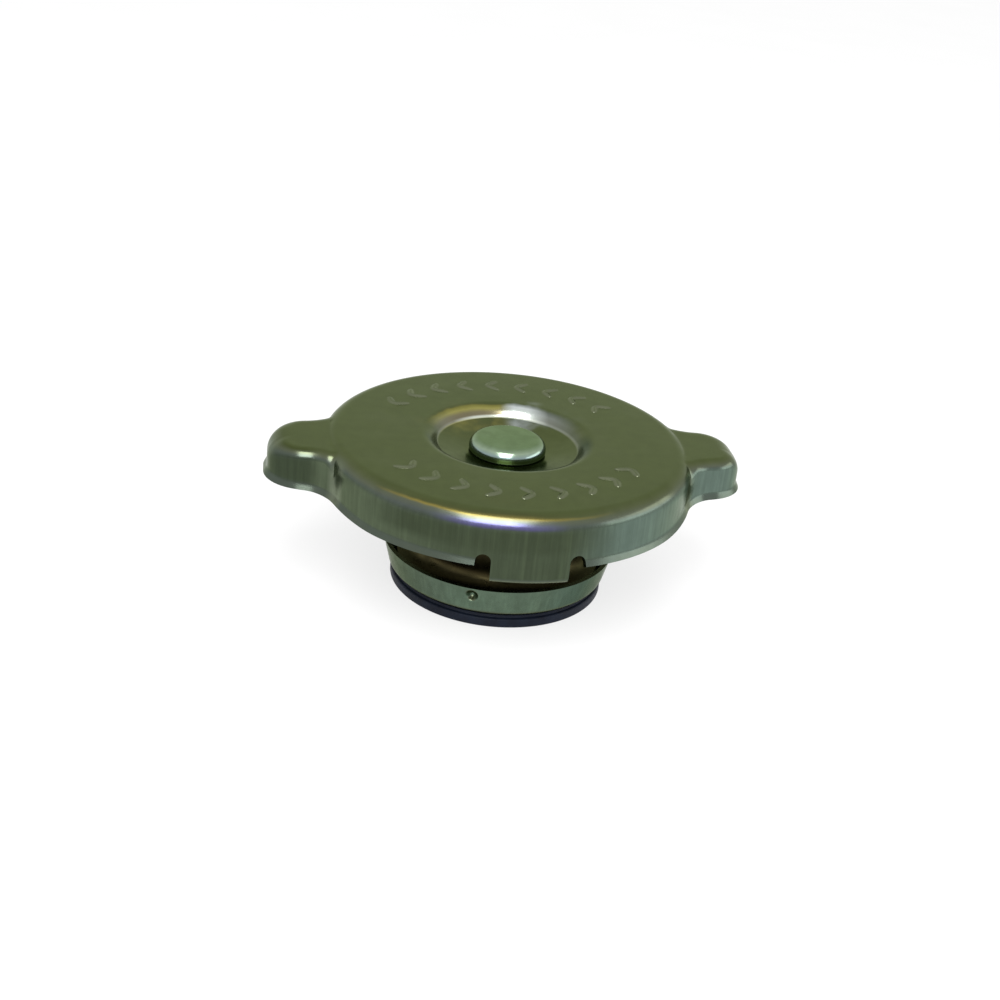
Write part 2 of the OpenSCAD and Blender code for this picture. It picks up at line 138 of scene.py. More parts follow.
def piece(name, points, quads, body, slot, finish, *nodes):
    """Mesh object from points in millimetres, with coincident points welded, which closes poles and
    seams. It rides on a CAD body, stands for the named CAD nodes and wears a finish."""
    mesh = bpy.data.meshes.new(name)
    mesh.from_pydata((np.reshape(points, (-1, 3)) * MM).tolist(), [], np.asarray(quads).tolist())
    work = bmesh.new()
    work.from_mesh(mesh)
    bmesh.ops.remove_doubles(work, verts=work.verts, dist=WELD)
    work.to_mesh(mesh)
    work.free()
    mesh.polygons.foreach_set("use_smooth", np.ones(len(mesh.polygons), bool))
    mesh.materials.append(finish)
    made = in_scene(name, mesh)
    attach(made, body)
    if nodes:
        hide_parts(*nodes)
    print(f"{name}: {len(mesh.vertices)} points, {len(mesh.polygons)} faces, on {body}")
    return made


def around(path, angles):
    """A path of (radius, z) carried round Z: x = radius * cos(angle), y = radius * sin(angle)."""
    radius = path[:, :1]
    height = np.broadcast_to(path[:, 1:], (len(path), len(angles)))
    return np.stack([radius * np.cos(angles), radius * np.sin(angles), height], -1)


def revolved(name, path, columns, *dress):
    """A piece whose path is carried round Z in even steps. dress is its body, its slot, which is not used,
    its finish and its CAD nodes."""
    angles = np.linspace(0, 2 * np.pi, columns, endpoint=False)
    return piece(name, around(path, angles), grid_quads(len(path), columns), *dress)


# %% Sheet thickness and flat faces
CUT_EDGE = 0.1
CUT_ANGLE = math.radians(50)


def as_sheet(made, thickness):
    """Gives an outer face its sheet thickness, inwards, and softens the cut edges of the sheet."""
    solid = made.modifiers.new("sheet", "SOLIDIFY")
    solid.thickness = thickness * MM
    solid.offset = -1
    solid.use_even_offset = True
    edge = made.modifiers.new("cut_edges", "BEVEL")
    edge.width = CUT_EDGE * MM
    edge.segments = 2
    edge.limit_method = "ANGLE"
    edge.angle_limit = CUT_ANGLE
    edge.harden_normals = True


def as_turned(made):
    """Keeps the flats of a turned piece flat in the shading, next to its small edge rounds."""
    made.modifiers.new("flat_faces", "WEIGHTED_NORMAL").keep_sharp = True


print(f"cut edges are softened by {CUT_EDGE} mm")

# %% [markdown]
# ## Finishes
# The steel is zinc plated and passivated: a film so thin that it colours the metal olive, and goes gold,
# violet and blue where the press stretched it round a bend. A metal shader with one colour would miss
# that. So the colour follows how far the surface is tipped, which is where the press stretched the sheet,
# and is broken up by clouds. Walls that face left or right can be painted lighter or darker, which is
# painted light and shade. Places can also get bend colours of their own: some are film colours, and some
# are painted highlights and painted shade. On the walls, fine upright streaks are the marks that the die
# left as the sheet was drawn.

# %% Node helpers
def new_finish(name):
    """Empty material with a Principled shader, and functions that add a node and link its inputs. An
    input given as (node, output) is linked, and any other value is set on the socket itself."""
    finish = bpy.data.materials.new(name)
    finish.use_nodes = True
    tree = finish.node_tree
    shader = tree.nodes["Principled BSDF"]

    def plug(node, inputs):
        for key, value in inputs.items():
            if isinstance(value, tuple) and isinstance(value[0], bpy.types.Node):
                tree.links.new(value[0].outputs[value[1]], node.inputs[key])
            else:
                node.inputs[key].default_value = value

    def add(kind, settings=None, **inputs):
        node = tree.nodes.new("ShaderNode" + kind)
        for key, value in (settings or {}).items():
            setattr(node, key, value)
        plug(node, {int(k[1:]) if k[0] == "i" and k[1:].isdigit() else k.replace("_", " "): v
                    for k, v in inputs.items()})
        return node

    return finish, shader, add, plug


def arithmetic(add, operation, *values):
    """One step of arithmetic on up to three values."""
    return (add("Math", {"operation": operation}, **{f"i{k}": value for k, value in enumerate(values)}), 0)


def product(add, *values):
    """Several factors multiplied."""
    total = values[0]
    for value in values[1:]:
        total = arithmetic(add, "MULTIPLY", total, value)
    return total


def spread(add, value, low, high, to_low, to_high):
    """A value stretched from one range to another, held at its ends."""
    return (add("MapRange", i0=value, i1=low, i2=high, i3=to_low, i4=to_high), "Result")


def ramp(add, fac, stops):
    """Colour ramp through (place, colour) stops."""
    node = add("ValToRGB", Fac=fac)
    elements = node.color_ramp.elements
    while len(elements) < len(stops):
        elements.new(0.5)
    for element, (place, colour) in zip(elements, stops):
        element.position = place
        element.color = (*colour, 1)
    return (node, "Color")


def mixed(add, fac, first, second, blend="MIX"):
    """Two colours mixed by a factor."""
    return (add("Mix", {"data_type": "RGBA", "blend_type": blend}, i0=fac, i6=first, i7=second), 2)


def in_mm(add, squeeze=(1, 1, 1)):
    """Object coordinates in millimetres, with each axis squeezed by a factor."""
    where = (add("TexCoord"), "Object")
    return (add("Mapping", Vector=where, Scale=[share / MM for share in squeeze]), "Vector")


def noise(add, where, scale, detail=4.0, roughness=0.55):
    """Clouds between 0 and 1, with about scale waves to the millimetre."""
    return (add("TexNoise", Vector=where, Scale=scale, Detail=detail, Roughness=roughness), "Fac")


# %% Places on the cap
EAR_ROOT = (30.8, 11.9, 0)


def place_measures(add):
    """Where a point lies, in millimetres: its X, Y and Z, its distance from the cap's axis, and its
    distance from the nearest of the four hollows between an ear and the skirt, which are one once X and Y
    lose their signs."""
    place = add("SeparateXYZ", Vector=in_mm(add))
    level = in_mm(add, (1, 1, 0))
    from_axis = add("VectorMath", {"operation": "LENGTH"}, i0=level)
    unsigned = add("VectorMath", {"operation": "ABSOLUTE"}, i0=level)
    from_root = add("VectorMath", {"operation": "DISTANCE"}, i0=(unsigned, "Vector"), i1=EAR_ROOT)
    return {"X": (place, "X"), "Y": (place, "Y"), "Z": (place, "Z"),
            "axis": (from_axis, "Value"), "root": (from_root, "Value")}


def within(add, measures, limits):
    """Factor of a place that is given by limits, each (measure, low, high, value at low, value at high):
    the product of their values, each held at its ends."""
    return product(add, *(spread(add, measures[name], *limit) for name, *limit in limits))


# %% Plated steel
PATCH_SCALE = 0.11
SHADE_SCALE = 0.45
FINE_SCALE = 6
FINE_BUMP = {"Strength": 0.03, "Distance": 0.00006}
STREAK_BUMP = {"Strength": 0.12, "Distance": 0.0003}
STREAK_SCALE = 1.5
STREAK_SQUEEZE = (1, 1, 0.045)
STREAK_LIGHT = [(0.3, (0.3, 0.31, 0.28)), (0.5, (0.5, 0.5, 0.5)), (0.72, (0.86, 0.88, 0.82))]
TIP_SHIFT = 0.05
CLOUD_TINT = (0.02, 0.02, 0.012, 1)
SIDE_PER_MM = 0.025
SIDE_REACH = 1.6


def plated_steel(name, flat, wall, bends, cloud=0.1, smooth=0.24, rough=0.34, streak=0.35,
                 edge=(0.64, 0.68, 0.56), painted_side_light=None, films_and_painted_light=()):
    """Passivated zinc plate, or bare metal in its own colours. flat and wall are the colours of level and
    of upright faces, and bends lists (tip, colour) stops for what lies between them, where tip is the
    normal's height: 0 upright, 1 level. cloud is how far clouds darken it, smooth and rough are the ends
    of its roughness, and streak is how far the streaks show. edge tints what the metal mirrors at a low
    angle. The side argument gives walls that face -X and +X colours of their own, which are painted light
    and shade. The film argument lists (limits, bends) pairs: other bend colours for a place, which are film
    colours, painted highlights and painted shade."""
    finish, shader, add, plug = new_finish(name)
    facing = add("SeparateXYZ", Vector=(add("TexCoord"), "Normal"))
    tip = arithmetic(add, "ABSOLUTE", (facing, "Z"))
    upright = spread(add, tip, 0.15, 0.5, 1, 0)
    patches = spread(add, noise(add, in_mm(add), PATCH_SCALE, 3), 0.3, 0.7, -1, 1)
    shifted_tip = arithmetic(add, "MULTIPLY_ADD", patches, TIP_SHIFT, tip)
    colour = ramp(add, shifted_tip, [(0, wall), *bends, (1, flat)])
    # Painted light and shade: walls that face -X and +X get lighter or darker colours of their own.
    if painted_side_light:
        place = add("SeparateXYZ", Vector=in_mm(add))
        out = arithmetic(add, "MULTIPLY_ADD", (place, "X"), SIDE_PER_MM, (facing, "X"))
        walls = ramp(add, spread(add, out, -SIDE_REACH, SIDE_REACH, 0, 1),
                     [(0.1, painted_side_light[0]), (0.3, wall), (0.6, wall), (0.78, painted_side_light[1])])
        colour = mixed(add, upright, colour, walls)
    measures = place_measures(add) if films_and_painted_light else {}
    # Each place's bend colours are film colours, painted highlights and painted shade.
    for limits, film_bends in films_and_painted_light:
        film = ramp(add, shifted_tip, [*film_bends, (1, flat)])
        colour = mixed(add, within(add, measures, limits), colour, film)
    shade = noise(add, in_mm(add), SHADE_SCALE, 5)
    colour = mixed(add, spread(add, shade, 0.35, 0.65, 0, cloud), colour, CLOUD_TINT)
    streaks = noise(add, in_mm(add, STREAK_SQUEEZE), STREAK_SCALE, 6, 0.65)
    light = ramp(add, streaks, STREAK_LIGHT)
    colour = mixed(add, arithmetic(add, "MULTIPLY", upright, streak), colour, light, "OVERLAY")
    fine = add("Bump", **FINE_BUMP, Height=noise(add, in_mm(add), FINE_SCALE, 3))
    marks = arithmetic(add, "MULTIPLY", upright, streaks)
    drawn = add("Bump", **STREAK_BUMP, Height=marks, Normal=(fine, "Normal"))
    plug(shader, {"Base Color": colour, "Metallic": 1.0, "Normal": (drawn, "Normal"),
                  "Specular Tint": (*edge, 1), "Roughness": spread(add, shade, 0.3, 0.7, smooth, rough)})
    return finish


# %% [markdown]
# ## Colours by place on the shell
# On the shell the colour changes from place to place. The front bend goes gold and violet, which is film
# colour and painted highlight both, and the ear at the left is darker. In the recess, the back is painted
# pale, with a gold patch and a near-white patch, which are painted highlights. Its sides are painted
# shade, and the foot of its wall has a thin painted highlight. Painting an image would tie these to one
# mesh, so each is a place given by limits in millimetres, with bend colours of its own. The limits fade,
# so no place has a hard edge. The hollows beside the ears are painted a little paler, which is painted
# light.

# %% Colours by place on the shell
# The front bend's gold line is film colour and a painted highlight both: it follows the fringe of the
# lamp's line.
FRONT_BEND = [("Y", -26, -20, 1, 0), ("Z", 21.5, 23, 0, 1), ("X", 0, 14, 1, 0)]
GOLD_FILM_AND_PAINTED_HIGHLIGHT = [(0, (0.052, 0.068, 0.04)), (0.2, (0.062, 0.08, 0.055)), (0.45, (0.09, 0.107, 0.098)),
              (0.7, (0.11, 0.126, 0.09)), (0.79, (0.25, 0.205, 0.055)), (0.87, (0.083, 0.095, 0.037))]
# The violet under the front bend's highlight is film colour and a painted highlight both.
VIOLET_SPOT = [("Y", -30, -26, 1, 0), ("Z", 21.5, 23, 0, 1), ("X", -2, 6, 1, 0), ("X", -17, -9, 0, 1)]
VIOLET_FILM_AND_PAINTED_HIGHLIGHT = [(0, (0.052, 0.068, 0.04)), (0.17, (0.062, 0.08, 0.055)), (0.34, (0.115, 0.105, 0.26)),
                (0.5, (0.135, 0.14, 0.25)), (0.64, (0.125, 0.14, 0.122)), (0.8, (0.17, 0.145, 0.045)),
                (0.92, (0.08, 0.09, 0.035))]
LEFT_EAR = [("X", -36, -33.5, 1, 0)]
LEFT_EAR_BENDS = [(0, (0.045, 0.06, 0.036)), (0.25, (0.05, 0.066, 0.045)), (0.5, (0.085, 0.105, 0.085)),
                  (0.7, (0.1, 0.115, 0.075)), (0.9, (0.064, 0.08, 0.028))]
# Painted light: the hollows beside the ears are painted paler.
EAR_ROOTS = [("root", 0.8, 2.5, 1, 0)]
ROOT_PAINTED_LIGHT = [(0, (0.18, 0.21, 0.15)), (0.4, (0.15, 0.175, 0.125)), (0.75, (0.11, 0.13, 0.08))]

# %% Painted highlights and painted shade of the recess
# Painted highlight: the back wall of the recess is painted pale.
RECESS_BACK = [("axis", 15.5, 18, 1, 0), ("Y", 4, 11, 0, 1)]
RECESS_BACK_PAINTED_HIGHLIGHT = [(0.6, (0.2, 0.21, 0.18)), (0.78, (0.22, 0.24, 0.22)), (0.9, (0.13, 0.15, 0.125)),
                (0.97, (0.085, 0.105, 0.045))]
# Painted highlight: a gold patch on the rim of the recess at the back left.
RECESS_GOLD = [*RECESS_BACK, ("X", 0, 3, 1, 0)]
RECESS_GOLD_PAINTED_HIGHLIGHT = [(0.6, (0.16, 0.14, 0.1)), (0.74, (0.2, 0.18, 0.1)), (0.86, (0.31, 0.29, 0.09)),
                     (0.95, (0.2, 0.19, 0.05)), (0.985, (0.09, 0.1, 0.04))]
# Painted highlight: a near-white patch on the back wall of the recess.
RECESS_HIGHLIGHT_SPOT = [*RECESS_BACK, ("X", 0.5, 3, 0, 1), ("X", 5.5, 9, 1, 0)]
RECESS_SPOT_PAINTED_HIGHLIGHT = [(0.7, (0.55, 0.6, 0.56)), (0.9, (0.6, 0.65, 0.64)), (0.96, (0.25, 0.28, 0.26)),
                      (0.985, (0.085, 0.105, 0.045))]
# Painted shade: the left and right walls of the recess are painted dark.
RECESS_SHADED_SIDES = [("axis", 12.9, 13.4, 0, 1), ("axis", 14.2, 15.6, 1, 0), ("Y", -10, -7, 0, 1),
                ("Y", -2, 2, 1, 0)]
RECESS_SIDE_PAINTED_SHADE = [(0.7, (0.03, 0.045, 0.027)), (0.94, (0.035, 0.05, 0.027)),
                     (0.985, (0.06, 0.078, 0.033))]
# Painted highlight: a thin bright line along the foot of the recess wall.
RECESS_FOOT = [("axis", 12.35, 12.6, 0, 1), ("axis", 12.75, 13.0, 1, 0), ("Y", 9.3, 11.9, 0.14, 1),
               ("Y", -5, 0, 0, 1)]
RECESS_FOOT_PAINTED_HIGHLIGHT = [(0.6, (0.66, 0.7, 0.64)), (0.95, (0.6, 0.64, 0.5))]
SHELL_FILMS_AND_PAINTED_LIGHT = [(FRONT_BEND, GOLD_FILM_AND_PAINTED_HIGHLIGHT), (VIOLET_SPOT, VIOLET_FILM_AND_PAINTED_HIGHLIGHT), (LEFT_EAR, LEFT_EAR_BENDS),
               (RECESS_BACK, RECESS_BACK_PAINTED_HIGHLIGHT), (RECESS_GOLD, RECESS_GOLD_PAINTED_HIGHLIGHT),
               (RECESS_HIGHLIGHT_SPOT, RECESS_SPOT_PAINTED_HIGHLIGHT), (RECESS_SHADED_SIDES, RECESS_SIDE_PAINTED_SHADE),
               (RECESS_FOOT, RECESS_FOOT_PAINTED_HIGHLIGHT), (EAR_ROOTS, ROOT_PAINTED_LIGHT)]
print(len(SHELL_FILMS_AND_PAINTED_LIGHT), "films on the shell")

# %% [markdown]
# ## Metals
# The pieces wear one kind of plate in different colours: olive on the shell, and lighter on its marks,
# which is painted highlight. The rivet is paler, and its rounded edge is painted bright as a highlight.
# The bell is a dark brown, which is painted shade from the shell above it, and the cup is grey green.
# The springs are bare steel, and the vacuum valve is brass. Separate materials would repeat the same
# nodes, so one function takes the colours of each.

# %% Metal finishes of the pieces
SHELL_BENDS = [(0.16, (0.068, 0.088, 0.062)), (0.42, (0.085, 0.105, 0.088)), (0.62, (0.11, 0.126, 0.086)),
               (0.84, (0.095, 0.112, 0.054))]
# Painted light: the shell's walls that face left and right are painted lighter than its front wall.
shell_plate = plated_steel("shell_plate", flat=(0.079, 0.098, 0.037), wall=(0.059, 0.077, 0.047),
                           bends=SHELL_BENDS, smooth=0.19, rough=0.26, edge=(0.7, 0.74, 0.64),
                           painted_side_light=((0.085, 0.11, 0.068), (0.12, 0.168, 0.14)), films_and_painted_light=SHELL_FILMS_AND_PAINTED_LIGHT)
# Painted highlight: the marks and their slopes are painted lighter than the shell's plate.
mark_plate_painted_light = plated_steel("mark_plate_painted_light", flat=(0.115, 0.135, 0.075), wall=(0.17, 0.19, 0.14),
                          bends=[(0.85, (0.145, 0.162, 0.1))], smooth=0.2, rough=0.28, streak=0)
# Painted highlight: the rivet's rounded edge is painted about twice as bright as its top.
rivet_steel = plated_steel("rivet_steel", flat=(0.15, 0.22, 0.115), wall=(0.14, 0.19, 0.11),
                           bends=[(0.35, (0.25, 0.33, 0.33)), (0.7, (0.3, 0.39, 0.28))],
                           cloud=0.15, smooth=0.14, rough=0.22, streak=0.15)
# Painted shade: the bell's dark brown stands in for the shade that the shell casts over it.
bell_plate = plated_steel("bell_plate", flat=(0.05, 0.045, 0.02), wall=(0.035, 0.03, 0.013),
                          bends=[(0.3, (0.045, 0.035, 0.015)), (0.7, (0.08, 0.07, 0.032))],
                          cloud=0.25, smooth=0.25, rough=0.4, streak=0.25)
# Painted shade: the cup's walls that face left and right are painted darker than its front, the right one
# most.
cup_plate = plated_steel("cup_plate", flat=(0.1, 0.12, 0.06), wall=(0.112, 0.168, 0.118),
                         bends=[(0.35, (0.12, 0.15, 0.11)), (0.7, (0.13, 0.15, 0.085))],
                         cloud=0.15, smooth=0.2, rough=0.34, streak=0.4,
                         painted_side_light=((0.09, 0.121, 0.09), (0.056, 0.1, 0.087)))
spring_steel = plated_steel("spring_steel", flat=(0.2, 0.195, 0.17), wall=(0.17, 0.165, 0.14),
                            bends=[(0.4, (0.2, 0.19, 0.15)), (0.8, (0.23, 0.22, 0.18))],
                            cloud=0.3, smooth=0.22, rough=0.36, streak=0.2)
valve_brass = plated_steel("valve_brass", flat=(0.42, 0.29, 0.09), wall=(0.36, 0.24, 0.07),
                           bends=[(0.4, (0.4, 0.27, 0.09)), (0.8, (0.46, 0.33, 0.12))],
                           cloud=0.25, smooth=0.22, rough=0.36, streak=0.2, edge=(0.9, 0.8, 0.5))
print("metals:", [m.name for m in bpy.data.materials if m.use_nodes])

# %% [markdown]
# ## Rubber
# The seal is moulded in black rubber that has gone slightly blue and dusty. Rubber reflects little, so a
# plain dark shader looks like paint. A fine grain in the surface and in its roughness breaks the
# highlight up.

# %% Rubber finish
BLOOM_SCALE = 0.35
GRAIN_SCALE = 7


def moulded_rubber(name):
    """Black rubber with a blue cast: matt, with a fine grain and a faint bloom in clouds."""
    finish, shader, add, plug = new_finish(name)
    bloom = noise(add, in_mm(add), BLOOM_SCALE, 5)
    colour = ramp(add, bloom, [(0.3, (0.003, 0.004, 0.009)), (0.7, (0.007, 0.011, 0.022))])
    grain = noise(add, in_mm(add), GRAIN_SCALE, 3)
    dent = add("Bump", Strength=0.25, Distance=0.0001, Height=grain)
    plug(shader, {"Base Color": colour, "Normal": (dent, "Normal"), "Specular IOR Level": 0.15,
                  "Roughness": spread(add, grain, 0.3, 0.7, 0.42, 0.62)})
    return finish


seal_rubber = moulded_rubber("seal_rubber")
print("rubber:", seal_rubber.name)

# %% [markdown]
# ## The shell
# The shell is one pressing: a top with a recess for the rivet, a skirt with a small flare, two hollow
# ears and two cam tabs. Seen from above, its outline is a straight tip and three kinds of arc that meet
# without a corner: the ear's round corner, a hollow blend, and the skirt's circle. So the shell can be a
# grid: one way runs along that outline, and the other runs from the rivet's hole out to the edge, and
# then down. Boolean cuts would leave ragged shading, while a grid keeps each bend round.

# %% Outline seen from above
shell_low, shell_high = box_mm("shell")
CAP_Z = shell_high[2]
TAB_Z = shell_low[2]
FLARE = 0.6
SHELL_R = 33.0
EAR_TIP = shell_high[0] - FLARE
EAR_HALF_W = 8.3
EAR_CORNER_R = 7.0
EAR_BLEND_R = 6.5

corner_centre = np.array([EAR_TIP - EAR_CORNER_R, EAR_HALF_W - EAR_CORNER_R])
blend_reach = SHELL_R + EAR_BLEND_R
blend_side = EAR_BLEND_R + EAR_CORNER_R
corner_reach = np.linalg.norm(corner_centre)
# The axis and the centres of the corner and the blend make a triangle whose three sides are known.
squares = corner_reach ** 2 + blend_reach ** 2 - blend_side ** 2
blend_turn = math.acos(squares / (2 * corner_reach * blend_reach))
blend_end = math.atan2(corner_centre[1], corner_centre[0]) + blend_turn
blend_centre = blend_reach * np.array([math.cos(blend_end), math.sin(blend_end)])
blend_start = math.atan2(*(blend_centre - corner_centre)[::-1])

# Distances along the outline at which the tip, the corner, the blend and the quarter end.
tip_run = corner_centre[1]
corner_run = tip_run + EAR_CORNER_R * blend_start
blend_run = corner_run + EAR_BLEND_R * (blend_start - blend_end)
quarter_run = blend_run + SHELL_R * (math.pi / 2 - blend_end)


def outline(run):
    """Point and outward direction at a distance run along the outline, which starts at the +X ear's tip.
    In the first quarter the direction turns from 0 round the ear's corner, back along the hollow blend,
    and on round the circle. The other quarters are mirror images."""
    quarter = np.floor(run / quarter_run)
    turn = quarter.astype(int) % 4
    part = run - quarter * quarter_run
    part = np.where(turn % 2 == 1, quarter_run - part, part)
    stretch = [part < tip_run, part < corner_run, part < blend_run]
    on_corner = (part - tip_run) / EAR_CORNER_R
    on_blend = blend_start - (part - corner_run) / EAR_BLEND_R
    on_circle = blend_end + (part - blend_run) / SHELL_R
    facing = np.select(stretch, [0 * part, on_corner, on_blend], on_circle)
    out = np.stack([np.cos(facing), np.sin(facing)], -1)
    tip = np.stack([np.full_like(part, EAR_TIP), part], -1)
    pick = list(np.stack(stretch)[..., None])
    ear = [tip, corner_centre + EAR_CORNER_R * out, blend_centre - EAR_BLEND_R * out]
    point = np.select(pick, ear, SHELL_R * out)
    flip = np.stack([np.where((turn == 0) | (turn == 3), 1, -1), np.where(turn < 2, 1, -1)], -1)
    return point * flip, out * flip


print(f"outline: {4 * quarter_run:.1f} mm round, ears to {EAR_TIP:.2f} mm")

# %% Columns along the outline
TAB_HALF_W = 6.5
TAB_COLUMNS = 33
NOTCH_R = 1.3
notch_run = SHELL_R * math.asin((TAB_HALF_W + NOTCH_R) / SHELL_R)
quarter_cuts = [0, tip_run, corner_run, blend_run, quarter_run - notch_run]
quarter_counts = [4, 26, 26, 40]  # columns on the tip, the corner, the blend and the circle
runs = [np.linspace(start, end, count, endpoint=False)
        for start, end, count in zip(quarter_cuts[:-1], quarter_cuts[1:], quarter_counts)]
half_skirt = np.concatenate([*runs, quarter_cuts[-1:]])
skirt_run = np.concatenate([-half_skirt[:0:-1], half_skirt])
tab_run = quarter_run + np.linspace(-notch_run, notch_run, TAB_COLUMNS)
print(f"columns: {len(skirt_run)} on each skirt stretch, {len(tab_run)} on each tab")

# %% [markdown]
# ## The shell's top
# The recess is turned, so its section is one path. Further out the top is a height worked out for each
# place: the round top and the ear's lower top each bend down over their own edge, and the higher of the
# two counts. A small fillet joins them, as the press can't leave a sharp corner. Along the front of an
# ear the edge is tighter.

# %% Section of the recess
HOLE_R = 3.8
RECESS_DEEP = 3.0
RECESS_Z = CAP_Z - RECESS_DEEP
RECESS_SEAT_R = 7.6
RECESS_DISH = 1.1
RECESS_FLOOR_R = 12.6
RECESS_TOP_R = 14.25
RECESS_FOOT_R = 0.8
RECESS_RIM_R = 3.6
RING_R = 27.8
recess_path = bent([(HOLE_R, RECESS_Z, 0), (RECESS_SEAT_R, RECESS_Z, RECESS_RIM_R),
                    (RECESS_FLOOR_R, RECESS_Z + RECESS_DISH, RECESS_FOOT_R),
                    (RECESS_TOP_R, CAP_Z, RECESS_RIM_R), (RING_R, CAP_Z, 0)], 10)
print(f"recess: {RECESS_DEEP} mm deep, {len(recess_path)} rows")

# %% Heights of the top
EDGE_R = 2.9
EAR_DOWN = 0.5
EAR_Z = CAP_Z - EAR_DOWN
EAR_EDGE_R = 4.2
EAR_FRONT_R = 2.0
EAR_DIVE = 0.4
FRONT_FROM_Y, FRONT_OVER_Y = 2, 6
FRONT_FROM_X, FRONT_OVER_X = 31, 2
BEND_D = max(EDGE_R, EAR_EDGE_R)
STEP_FILLET = 0.35
STEEP = 6


def eased(share):
    """A share from 0 to 1 with a soft start and end: share squared, times 3 less twice the share."""
    return share ** 2 * (3 - 2 * share)


def round_over(top, radius, inside):
    """Height of a face that bends down over its edge: a quarter round of that radius, at a distance
    inside the edge. Outside the edge it falls away steeply."""
    over = np.clip(radius - inside, 0, radius)
    return top - radius + np.sqrt(radius ** 2 - over ** 2) + STEEP * np.minimum(inside, 0)


def ear_edge(point):
    """Radius of the ear's edge at points of the outline: it eases from EAR_EDGE_R to EAR_FRONT_R towards
    the front side of an ear."""
    front = np.clip((-point[:, 1] - FRONT_FROM_Y) / FRONT_OVER_Y, 0, 1)
    front *= np.clip((np.abs(point[:, 0]) - FRONT_FROM_X) / FRONT_OVER_X, 0, 1)
    return EAR_EDGE_R + (EAR_FRONT_R - EAR_EDGE_R) * eased(front)


def top_height(xy, inside, edge_r):
    """The higher of the round top and the ear's top, joined by a fillet: where the two heights are within
    STEP_FILLET of each other, a quadratic term lifts the crease between them. Towards the middle, the
    ear's top dives under the round top, so that it has no share in it there."""
    depth = SHELL_R - np.linalg.norm(xy, axis=-1)
    disc = round_over(CAP_Z, EDGE_R, depth)
    ear = round_over(EAR_Z, edge_r, inside) - EAR_DIVE * np.clip(depth - 1, 0, None)
    near = np.clip(STEP_FILLET - np.abs(disc - ear), 0, None) / STEP_FILLET
    return np.maximum(disc, ear) + near ** 2 * STEP_FILLET / 4


# %% Rows of the top
TOP_ROWS = 26
BEND_ROWS = 18
STEP_R = 31.83
STEP_AT_MOST = 0.75


def lifted(xy, height):
    """Points from their places seen from above and their heights."""
    return np.concatenate([xy, np.broadcast_to(height, xy.shape[:2])[..., None]], -1)


def top_rows(edge_point, out):
    """Rows from the rivet's hole to the edge: the turned recess, then straight out to the start of the
    edge bend, then the bend. Going straight out, the rows crowd towards STEP_R, where the ear steps down
    from the round top: their spacing falls evenly up to it and grows evenly beyond it."""
    inner = edge_point - BEND_D * out
    reach = np.linalg.norm(inner, axis=-1)
    ray = inner / reach[:, None]
    recess = lifted(recess_path[:, None, :1] * ray, recess_path[:, 1:])
    step_at = np.clip((STEP_R - RING_R) / (reach - RING_R), 0, STEP_AT_MOST)
    below, above = (np.clip(np.linspace(a, a + 2, TOP_ROWS + 1)[1:, None], 0, 1) for a in (0, -1))
    share = step_at * below * (1.5 - below / 2) + (1 - step_at) * above * (0.5 + above / 2)
    top_xy = (RING_R + (reach - RING_R) * share)[..., None] * ray
    bend_d = BEND_D * (1 - np.sin(np.linspace(0, np.pi / 2, BEND_ROWS + 1)[1:, None]))
    bend_xy = edge_point - bend_d[..., None] * out
    edge_r = ear_edge(edge_point)
    return np.concatenate([recess, lifted(top_xy, top_height(top_xy, BEND_D, edge_r)),
                           lifted(bend_xy, top_height(bend_xy, bend_d, edge_r))])


print(f"top: {len(recess_path) + TOP_ROWS + BEND_ROWS} rows from the hole to the edge")

# %% [markdown]
# ## The shell's skirt and tabs
# Below the edge the sheet goes straight down to a small flare, or bends in to a lip where there is a cam
# tab. Round-topped notches free each tab from the skirt. Cutting them would leave ragged edges, so the
# grid's last columns on both sides of a notch are moved along the outline instead, to follow the notch's
# side.

# %% Sections of skirt and tab
FLARE_H = 1.2
SKIRT_H = 8.9
SKIRT_Z = CAP_Z - SKIRT_H
EAR_RISE = 1.4
RISE_FROM_X = 24.0
RISE_TO_X = 38.0
TAB_LIP = 4.6
TAB_BEND_R = 1.5
NOTCH_H = 1.9
NOTCH_LEAD = 0.4
root_z = SKIRT_Z + NOTCH_H + NOTCH_LEAD
skirt_section = bent([(0, root_z, 0), (0, SKIRT_Z + FLARE_H, FLARE_H), (-FLARE, SKIRT_Z, 0)])
tab_section = bent([(0, root_z, 0), (0, TAB_Z, TAB_BEND_R), (TAB_LIP, TAB_Z, 0)])
for part, section in (("skirt", skirt_section), ("tab", tab_section)):
    print(f"{part}: {path_length(section):.1f} mm of sheet below the wall")

# %% Rows of a stretch
WALL_ROWS = 4
NOTCH_REACH = 9.0


def notch_side(section, side_rows):
    """The side of a relief notch, as (sideways, down) distances: the round top of the notch, then
    straight down."""
    angle = np.linspace(0, np.pi / 2, 9)
    round_top = np.stack([NOTCH_R * np.sin(angle), NOTCH_LEAD + NOTCH_R * (1 - np.cos(angle))], 1)
    down = np.linspace(round_top[-1, 1], path_length(section), side_rows + 1)[1:]
    side = np.stack([np.full_like(down, NOTCH_R), down], 1)
    return np.concatenate([[[0, 0]], round_top, side])


def low_rows(run, section, side_rows, rise):
    """Rows of the section below the wall. Near a notch they move sideways, to follow its side: in full at
    the stretch's end, and less with the square of what is left of NOTCH_REACH."""
    side = notch_side(section, side_rows)
    inward, height = along(section, side[:, 1]).T[..., None]
    from_first = np.clip(1 - (run - run[0]) / NOTCH_REACH, 0, 1) ** 2
    from_last = np.clip(1 - (run[-1] - run) / NOTCH_REACH, 0, 1) ** 2
    point, out = outline(run + side[:, :1] * (from_first - from_last))
    return lifted(point - inward[..., None] * out, height + rise)


